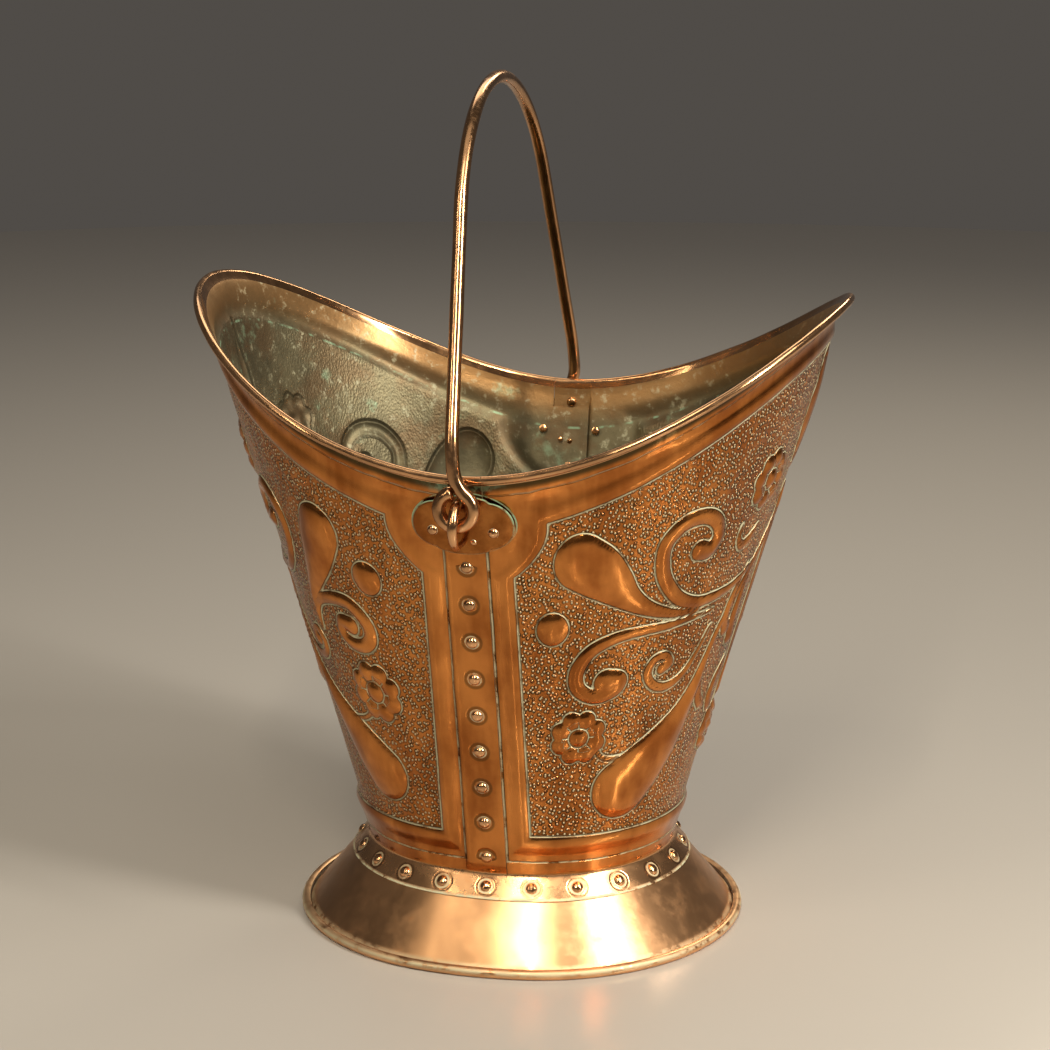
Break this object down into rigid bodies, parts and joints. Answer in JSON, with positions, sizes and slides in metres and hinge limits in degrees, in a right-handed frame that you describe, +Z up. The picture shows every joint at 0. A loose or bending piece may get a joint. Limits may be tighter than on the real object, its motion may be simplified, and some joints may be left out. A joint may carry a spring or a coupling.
{
  "type": "coal scuttle",
  "caption": "Copper coal scuttle: oval bucket with swept pouring lips at both ends, riveted side seams, splayed foot and a swinging bail handle.",
  "frame": {"origin": "centre of the box round the whole scuttle, at the floor it stands on", "axes": "+Z up, +X towards the right-hand lip in the picture, +Y away from the seam that faces the camera; the bail hangs on an axis along Y"},
  "size_m": [0.405, 0.336, 0.529],
  "materials": {
    "body_copper": null,
    "foot_copper": "burnished copper, brighter than the bucket",
    "floor_copper": "dull brown copper",
    "rivet_copper": "hammered copper, polished on top",
    "ear_copper": "worn copper with pale residue along the edges",
    "bail_copper": "hand-worn copper rod",
    "iron_wire": "plain drawn wire, hidden inside the rolled edges"
  },
  "bodies": {
    "bucket": {"left_body_shell": "body_copper", "right_body_shell": "body_copper", "rim_wire": "iron_wire", "foot_skirt": "foot_copper", "foot_wire": "iron_wire", "floor_pan": "floor_copper", "front_seam_rivets": "rivet_copper", "back_seam_rivets": "rivet_copper", "collar_rivets": "rivet_copper", "front_ear_plate": "ear_copper", "back_ear_plate": "ear_copper", "front_ear_rivets": "rivet_copper", "back_ear_rivets": "rivet_copper", "front_staple": "ear_copper", "back_staple": "ear_copper"},
    "bail": {"bail_handle": "bail_copper"}
  },
  "joints": [
    {"name": "bail_swing", "type": "hinge", "parent": "bucket", "child": "bail", "pos_m": [0, 0, 0.296], "axis": [0, 1, 0], "range_deg": [-56, 63]}
  ]
}
